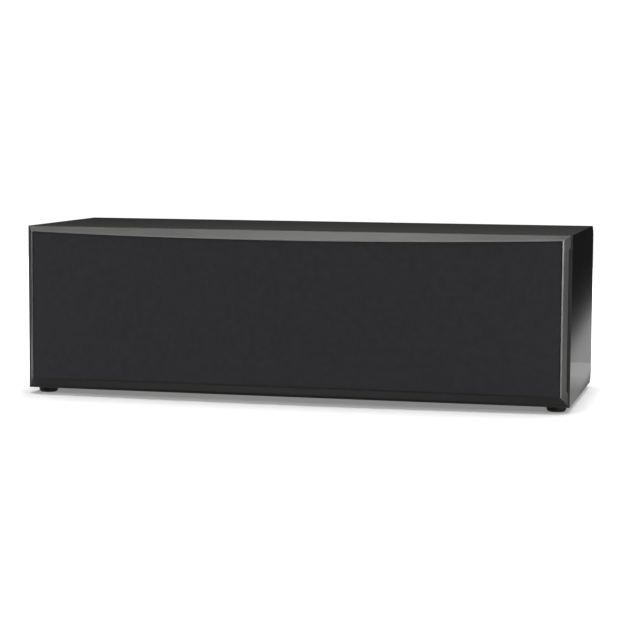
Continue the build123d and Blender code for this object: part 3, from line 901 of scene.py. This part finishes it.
def make_surround(side, x):
    """A half-roll of rubber from the diaphragm to the flange."""
    roll_middle = (surround_inner + surround_outer) / 2
    roll_half = (surround_outer - surround_inner) / 2
    crown = surround_height - surround_lift
    middle = Vector((x, surround_base_y, axis_z))
    clear_selection()
    bpy.ops.mesh.primitive_torus_add(
        major_radius=roll_middle,
        minor_radius=roll_half,
        major_segments=96,
        minor_segments=32,
        location=middle,
        rotation=(math.pi / 2, 0.0, 0.0),
    )
    surround = settle(side + "_roll_surround")
    begin_shaping(surround)
    bpy.ops.mesh.select_all(action="SELECT")
    bpy.ops.transform.resize(value=(1.0, crown / roll_half, 1.0), center_override=middle)
    bpy.ops.mesh.select_all(action="SELECT")
    cut = middle - Vector((0.0, surround_lift, 0.0))
    bpy.ops.mesh.bisect(plane_co=cut, plane_no=(0.0, 1.0, 0.0), clear_outer=True)
    for edge, landing in (
        (surround_outer, surround_outer + surround_landing),
        (surround_inner, surround_inner - surround_landing),
    ):

        def on_cut(point):
            outside = (point - cut).length > roll_middle
            return point.y > cut.y - hair and outside == (edge > roll_middle)

        pick_edges(surround, lambda a, b: on_cut(a) and on_cut(b))
        bpy.ops.mesh.extrude_edges_move()
        grow = landing / edge
        bpy.ops.transform.resize(value=(grow, 1.0, grow), center_override=cut)
    bpy.ops.mesh.select_all(action="SELECT")
    bpy.ops.mesh.normals_make_consistent(inside=False)
    end_shaping()
    apply_modifier(surround, "SOLIDIFY", thickness=surround_sheet, offset=0.0)
    shade(surround)
    dress(surround, soft_rubber, "rubber", None, "woofer_surrounds")
    body = side + "_woofer"
    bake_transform(surround, "cabinet", body, start=(x + surround_outer, surround_base_y, axis_z), end=middle)
    follow = surround.data.attributes["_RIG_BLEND"]
    for point in surround.data.vertices:
        reach = math.hypot(point.co.x - x, point.co.z - axis_z)
        share = (surround_outer - reach) / (surround_outer - surround_inner)
        share = min(1.0, max(0.0, share))
        follow.data[point.index].value = share * share * (3.0 - 2.0 * share)


def make_diaphragm(side):
    """A flat piston with a pressed ring over its coil, and the coil's tube behind."""
    node = "woofer_" + side + "_diaphragm"
    piston = merged_copy(node, side + "_piston")
    begin_shaping(piston)
    pick_faces(piston, lambda place, normal: normal.y < -0.9 and place.y < flange_front_y + hair)
    for flat, side_width, step in (
        (piston_land, piston_groove_side, piston_groove_depth),
        (piston_flat, coil_ring_side, -coil_ring_height),
        (coil_ring_top, coil_ring_side, coil_ring_height),
    ):
        bpy.ops.mesh.inset(thickness=flat)
        bpy.ops.mesh.inset(thickness=side_width)
        bpy.ops.transform.translate(value=(0.0, step, 0.0))
    end_shaping()
    soften(piston, piston_edge_round)
    dress(piston, diaphragm_fibre, "diaphragm", side + "_woofer", node)


def corners_of(across, up):
    """The four corners of a rectangle round the driver axis."""
    return [Vector((x, 0.0, z)) for x in (-across, across) for z in (-up, up)]


def rear_screws(x, across, up):
    """Seats of four screws round a rear moulding, sunk below its face."""
    middle = Vector((x, trim_y - screw_sink, axis_z))
    return [middle + corner for corner in corners_of(across, up)]


port_screw_places = []
for _, x in woofers:
    port_screw_places += rear_screws(x, port_screw_across, port_screw_up)
terminal_screw_places = rear_screws(0.0, terminal_screw_across, terminal_screw_up)


def sink_screws(moulding, places):
    """Cuts a flared counterbore for each screw head in a rear moulding."""
    for place in places:
        floor_y = trim_y - screw_sink - 2 * hair
        past_y = trim_y + 8 * hair
        bore = start_round(
            "counterbore", counterbore_radius, floor_y, past_y, place.x, place.z, screw_sides
        )
        begin_shaping(bore)
        pick_faces(bore, lambda middle, normal: normal.y > 0.9)
        flare = (counterbore_flare, 1.0, counterbore_flare)
        bpy.ops.transform.resize(value=flare, center_override=place)
        end_shaping()
        cut_away(moulding, bore)
    shade(moulding)


def make_plain_mouldings():
    """Mouldings and castings in the solids' shapes, with softened edges."""
    frames = merged_copy("woofer_frames", "woofer_baskets")
    soften(frames, casting_round)
    dress(frames, powder_coat, "cast_frame", "cabinet", "woofer_frames")
    plate = merged_copy("tweeter_plate", "tweeter_guide")
    soften(plate, casting_round)
    dress(plate, moulded_plastic, "black_plastic", "cabinet", "tweeter_plate")
    ports = merged_copy("port_ducts", "slot_ports")
    soften(ports, trim_round, 3, 25.0)
    sink_screws(ports, port_screw_places)
    dress(ports, moulded_plastic, "black_plastic", "cabinet", "port_ducts")
    cup = merged_copy("terminal_cup", "terminal_tray")
    soften(cup, trim_round, 3, 25.0)
    sink_screws(cup, terminal_screw_places)
    dress(cup, moulded_plastic, "black_plastic", "cabinet", "terminal_cup")


def flute_of(offset):
    """Counts round the nut: 0 in a flute and 1 on the ridge next to it."""
    turn = math.atan2(offset.z, offset.x) / math.tau * nut_sides
    return int(math.floor(turn)) // 2 % 2


def make_thumb_nut(side, x, finish, slot):
    """A fluted thumb nut."""
    nut = start_round(side + "_thumb_nut", nut_radius, nut_front_y, nut_back_y, x, axis_z, nut_sides)
    middle = Vector((x, (nut_front_y + nut_back_y) / 2, axis_z))
    begin_shaping(nut)
    pick_faces(nut, lambda place, normal: abs(normal.y) < 0.5 and flute_of(place - middle) == 0)
    bpy.ops.mesh.inset(thickness=flute_edge)
    narrower = (flute_narrowing, 1.0, flute_narrowing)
    bpy.ops.transform.resize(value=narrower, center_override=middle)
    pick_faces(nut, lambda place, normal: normal.y > 0.9)
    bpy.ops.mesh.inset(thickness=nut_face_rim)
    bpy.ops.mesh.inset(thickness=nut_dish_side)
    bpy.ops.transform.translate(value=(0.0, -nut_dish, 0.0))
    end_shaping()
    past = 0.01
    bore = start_round(
        "nut_bore", nut_bore_radius, nut_front_y - past, nut_back_y + past, x, axis_z, nut_sides
    )
    cut_away(nut, bore)
    soften(nut, nut_edge_round, 2, 25.0)
    dress(nut, finish, slot, side + "_terminal_nut", side + "_nut")


def seat_screw(screw, name, move):
    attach(copy_piece(screw, name, move), "cabinet")


def make_screws():
    """One socket-head screw, and its copies on the drivers and the rear."""
    screw = start_round("screw", screw_radius, -screw_height, 0.0, 0.0, 0.0, screw_sides)
    begin_shaping(screw)
    pick_edges(screw, lambda a, b: max(a.y, b.y) < -screw_height + hair)
    bpy.ops.mesh.bevel(offset=screw_round, segments=4, affect="EDGES")
    end_shaping()
    past_y = -2 * screw_height
    socket = start_round("screw_socket", screw_socket_radius, past_y, -screw_socket_floor, 0.0, 0.0, 6)
    cut_away(screw, socket)
    soften(screw, screw_edge_round, 1, 40.0)
    dress(screw, zinc_steel, "motor_steel", None)
    about_face = Matrix.Rotation(math.pi, 4, "Z")
    for side, x in woofers:
        for count in range(woofer_screws):
            turn = math.tau * (count + 0.5) / woofer_screws
            corner = Vector((math.cos(turn), 0.0, math.sin(turn))) * screw_circle
            place = Vector((x, flange_front_y, axis_z)) + corner
            seat_screw(screw, f"{side}_woofer_screw_{count + 1}", Matrix.Translation(place))
    for count, corner in enumerate(corners_of(tweeter_screw_offset, tweeter_screw_offset)):
        place = Vector((0.0, tweeter_front_y, axis_z)) + corner
        seat_screw(screw, f"tweeter_screw_{count + 1}", Matrix.Translation(place))
    for count, place in enumerate(port_screw_places):
        seat_screw(screw, f"port_screw_{count + 1}", Matrix.Translation(place) @ about_face)
    for count, place in enumerate(terminal_screw_places):
        seat_screw(screw, f"terminal_screw_{count + 1}", Matrix.Translation(place) @ about_face)
    bpy.data.objects.remove(screw)


def puff_up(pad, cap):
    """Blows a pad up with a cloth simulation, and keeps each point within cap of its start."""
    homes = [point.co.copy() for point in pad.data.vertices]
    take_up(pad)
    puff = pad.modifiers.new("puff", "CLOTH")
    puff.settings.use_pressure = True
    puff.settings.uniform_pressure_force = puff_pressure
    puff.settings.effector_weights.gravity = 0.0
    for step in range(1, puff_steps + 1):
        bpy.context.scene.frame_set(step)
    bpy.ops.object.modifier_apply(modifier=puff.name)
    bpy.context.scene.frame_set(1)
    for point, home in zip(pad.data.vertices, homes):
        move = point.co - home
        if move.length > cap:
            point.co = home + move * (cap / move.length)


def make_damping_pads():
    """A puffed slab of wadding that hangs on the cabinet's top wall, and its twin."""
    low = pad_thickness - pad_swell
    size = (pad_width - 2 * pad_swell, pad_depth - 2 * pad_swell, low - pad_swell)
    pad = start_block("left_damping_pad", size, (-woofer_x, pad_middle_y, pad_top - low / 2))
    begin_shaping(pad)
    bpy.ops.mesh.select_all(action="SELECT")
    bpy.ops.mesh.bevel(offset=pad_edge_round, segments=3, affect="EDGES")
    end_shaping()
    apply_modifier(pad, "REMESH", mode="VOXEL", voxel_size=pad_voxel)
    puff_up(pad, pad_swell)
    apply_modifier(pad, "SUBSURF", levels=1, render_levels=1)
    for point in pad.data.vertices:
        point.co.z = min(point.co.z, pad_top - 2 * hair)
    shade(pad, 60.0)
    dress(pad, wadding, "wadding", None)
    across = Matrix.Translation((2 * woofer_x, 0.0, 0.0))
    for one in (pad, copy_piece(pad, "right_damping_pad", across)):
        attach(one, "cabinet")
        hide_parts("damping_pads")


make_gloss_wrap()
make_bezel()
make_cloth_frame()
make_knit_cloth()
make_feet()
for side, x in woofers:
    make_surround(side, x)
    make_diaphragm(side)
make_plain_mouldings()
make_thumb_nut("red", post_x, red_plastic, "red_cap")
make_thumb_nut("black", -post_x, black_plastic, "black_cap")
make_screws()
make_damping_pads()

# Camera, at the photograph's angle.
yaw = math.radians(13.66)
pitch = math.radians(5.408)
roll = math.radians(0.32)
ahead = Vector((-math.sin(yaw) * math.cos(pitch), math.cos(yaw) * math.cos(pitch), -math.sin(pitch)))
level = Vector((math.cos(yaw), math.sin(yaw), 0.0))
upright = level.cross(ahead)
right = math.cos(roll) * level + math.sin(roll) * upright
up = -math.sin(roll) * level + math.cos(roll) * upright
camera_data = bpy.data.cameras.new("photo_camera")
camera_data.sensor_width = 36.0
camera_data.lens = 111.18
camera_data.clip_end = 100.0
camera = bpy.data.objects.new("photo_camera", camera_data)
camera.matrix_world = Matrix((right, up, -ahead)).transposed().to_4x4()
camera.location = (0.56806, -2.33990, 0.32582)
bpy.context.scene.collection.objects.link(camera)
bpy.context.scene.camera = camera
bpy.context.scene.view_settings.view_transform = "Standard"


def add_stage(name, width, depth, middle):
    """A flat sheet of the studio, which is no part of the speaker."""
    clear_selection()
    bpy.ops.mesh.primitive_plane_add(size=1.0, location=middle)
    bpy.context.active_object.scale = (width, depth, 1.0)
    sheet = settle(name)
    return sheet


def add_panel(name, width, height, middle, target, power, spread=True, mirrored=True):
    """A soft light panel that faces a target, for dull finishes to spread and shiny ones to mirror."""
    light = bpy.data.lights.new(name, "AREA")
    light.shape = "RECTANGLE"
    light.size = width
    light.size_y = height
    light.energy = power
    panel = bpy.data.objects.new(name, light)
    panel.visible_diffuse = spread
    panel.visible_glossy = mirrored
    panel.location = middle
    panel.rotation_euler = (Vector(target) - Vector(middle)).to_track_quat("-Z", "Y").to_euler()
    bpy.context.scene.collection.objects.link(panel)


def fade(tree, value, low, high, levels):
    """Brightness read off a list of (place, level), as value goes from low to high."""
    share = tree.nodes.new("ShaderNodeMapRange")
    share.inputs["From Min"].default_value = low
    share.inputs["From Max"].default_value = high
    ramp = tree.nodes.new("ShaderNodeValToRGB")
    stops = ramp.color_ramp.elements
    while len(stops) < len(levels):
        stops.new(0.5)
    for stop, (place, level_there) in zip(stops, levels):
        stop.position = (place - low) / (high - low)
        stop.color = (level_there, level_there, level_there, 1.0)
    tree.links.new(value, share.inputs["Value"])
    tree.links.new(share.outputs["Result"], ramp.inputs["Fac"])
    return ramp.outputs["Color"]


def make_pale_floor():
    """The floor that the camera sees, with the speaker's soft shadow on it, partly cast by the lamps and
    partly painted by the floor's own glow.
    """
    floor = add_stage("studio_floor", 5.0, 4.6, (0.0, 0.0, 0.0))
    pale = bpy.data.materials.new("pale_floor")
    pale.use_nodes = True
    shader = shader_of(pale)
    shader.inputs["Base Color"].default_value = (0.80, 0.80, 0.80, 1.0)
    shader.inputs["Roughness"].default_value = 0.9
    shader.inputs["Specular IOR Level"].default_value = 0.0
    shader.inputs["Emission Color"].default_value = (1.0, 1.0, 1.0, 1.0)
    tree = pale.node_tree
    places = tree.nodes.new("ShaderNodeTexCoord")
    parts = tree.nodes.new("ShaderNodeSeparateXYZ")
    tree.links.new(places.outputs["Object"], parts.inputs["Vector"])
    aside = combine(tree, "ABSOLUTE", parts.outputs["X"], 0.0)
    reach = tree.nodes.new("ShaderNodeVectorMath")
    reach.operation = "LENGTH"
    tree.links.new(places.outputs["Object"], reach.inputs[0])
    # Painted light: the floor's glow is faint near the speaker and grows further off and past its ends, which
    # lifts and narrows the shadow there.
    painted_light_by_reach = ((0.0, 0.23), (0.42, 0.23), (0.52, 0.34), (0.75, 0.65), (1.1, 0.95))
    painted_light_past_ends = ((0.330, 0.23), (0.345, 0.36), (0.365, 0.62), (0.40, 0.85))
    strength = combine(
        tree,
        "MAXIMUM",
        fade(tree, reach.outputs["Value"], 0.0, 2.0, painted_light_by_reach),
        fade(tree, aside, 0.3, 0.5, painted_light_past_ends),
    )
    tree.links.new(strength, shader.inputs["Emission Strength"])
    floor.data.materials.append(pale)
    floor.visible_glossy = False
    floor.visible_diffuse = False
    floor.visible_shadow = False


def make_mirrored_floor():
    """The floor as the lacquer mirrors it: bright near the speaker and dark further off."""
    floor = add_stage("mirrored_floor", 12.0, 12.0, (0.0, 3.0, -0.002))
    glow = bpy.data.materials.new("floor_in_the_gloss")
    glow.use_nodes = True
    tree = glow.node_tree
    tree.nodes.clear()
    places = tree.nodes.new("ShaderNodeTexCoord")
    parts = tree.nodes.new("ShaderNodeSeparateXYZ")
    tree.links.new(places.outputs["Object"], parts.inputs["Vector"])
    slant = combine(tree, "MULTIPLY", parts.outputs["Y"], -0.04)
    aside = combine(tree, "ADD", combine(tree, "ABSOLUTE", parts.outputs["X"], 0.0), slant)
    outwards = (
        (0.334, 0.49),
        (0.341, 1.00),
        (0.360, 1.00),
        (0.368, 0.94),
        (0.374, 0.86),
        (0.382, 0.68),
        (0.390, 0.44),
        (0.399, 0.26),
        (0.408, 0.165),
        (0.418, 0.108),
        (0.430, 0.072),
        (0.445, 0.052),
        (0.480, 0.035),
    )
    backwards = (
        (-1.5, 0.10),
        (-0.6, 0.12),
        (-0.14, 0.38),
        (-0.09, 0.60),
        (0.11, 0.60),
        (0.19, 0.82),
        (0.27, 1.0),
        (0.405, 1.0),
        (0.412, 0.775),
    )
    strength = combine(
        tree,
        "MULTIPLY",
        fade(tree, aside, 0.30, 0.50, outwards),
        fade(tree, parts.outputs["Y"], -1.5, 0.5, backwards),
    )
    beside_speaker = 0.55
    strength = combine(tree, "MULTIPLY", strength, beside_speaker)
    beside_ends = combine(
        tree,
        "MULTIPLY",
        fade(tree, aside, 0.4, 2.0, ((0.42, 0.0), (0.50, 1.0), (0.8, 0.52), (1.9, 0.10))),
        fade(tree, parts.outputs["Y"], -0.6, 0.6, ((-0.4, 0.0), (-0.2, 1.0), (0.3, 1.0), (0.5, 0.0))),
    )
    light = tree.nodes.new("ShaderNodeEmission")
    out = tree.nodes.new("ShaderNodeOutputMaterial")
    tree.links.new(combine(tree, "ADD", strength, beside_ends), light.inputs["Strength"])
    tree.links.new(light.outputs["Emission"], out.inputs["Surface"])
    floor.data.materials.append(glow)
    floor.visible_camera = False
    floor.visible_shadow = False


def make_studio_air():
    """White for the camera, and dim for the lacquer, darker towards the horizon."""
    world = bpy.data.worlds.new("studio_air")
    world.use_nodes = True
    bpy.context.scene.world = world
    tree = world.node_tree
    tree.nodes.clear()
    places = tree.nodes.new("ShaderNodeTexCoord")
    parts = tree.nodes.new("ShaderNodeSeparateXYZ")
    tree.links.new(places.outputs["Generated"], parts.inputs["Vector"])
    upwards = (
        (0.0, 0.012),
        (0.040, 0.026),
        (0.0466, 0.037),
        (0.0517, 0.069),
        (0.056, 0.078),
        (0.10, 0.085),
    )
    rays = tree.nodes.new("ShaderNodeLightPath")
    dim = tree.nodes.new("ShaderNodeBackground")
    white = tree.nodes.new("ShaderNodeBackground")
    either = tree.nodes.new("ShaderNodeMixShader")
    out = tree.nodes.new("ShaderNodeOutputWorld")
    white.inputs["Color"].default_value = (1.0, 1.0, 1.0, 1.0)
    white.inputs["Strength"].default_value = 1.05
    tree.links.new(fade(tree, parts.outputs["Z"], 0.0, 0.2, upwards), dim.inputs["Color"])
    tree.links.new(rays.outputs["Is Camera Ray"], either.inputs["Fac"])
    tree.links.new(dim.outputs["Background"], either.inputs[1])
    tree.links.new(white.outputs["Background"], either.inputs[2])
    tree.links.new(either.outputs["Shader"], out.inputs["Surface"])


make_pale_floor()
make_mirrored_floor()
make_studio_air()
add_panel("overhead_panel", 3.0, 1.8, (0.0, 0.05, 2.6), (0.0, 0.05, 0.0), 75.0)
add_panel("right_overhead", 1.6, 1.6, (2.3, -0.6, 2.0), (0.4, 0.0, 0.05), 17.0)
add_panel("front_panel", 2.0, 1.6, (-1.5, -2.9, 2.2), (0.0, 0.0, 0.1), 34.0)
add_panel("right_strip", 0.6, 1.4, (2.0, -1.5, 0.6), (0.3, -0.1, 0.1), 30.0, spread=False)
add_panel("left_strip", 0.5, 1.2, (-2.2, -0.4, 0.5), (-0.3, -0.1, 0.1), 10.0, spread=False)
add_panel("rear_softbox", 0.65, 0.6, (-0.50, 1.9, 1.75), (0.0, -0.12, 0.2), 1.58)
add_panel("right_rear_panel", 1.2, 0.9, (2.6, 1.0, 0.25), (0.33, -0.12, 0.1), 3.2)
add_panel("rear_fill", 2.4, 0.8, (0.6, 3.0, 0.9), (0.0, 0.13, 0.1), 20.0, mirrored=False)
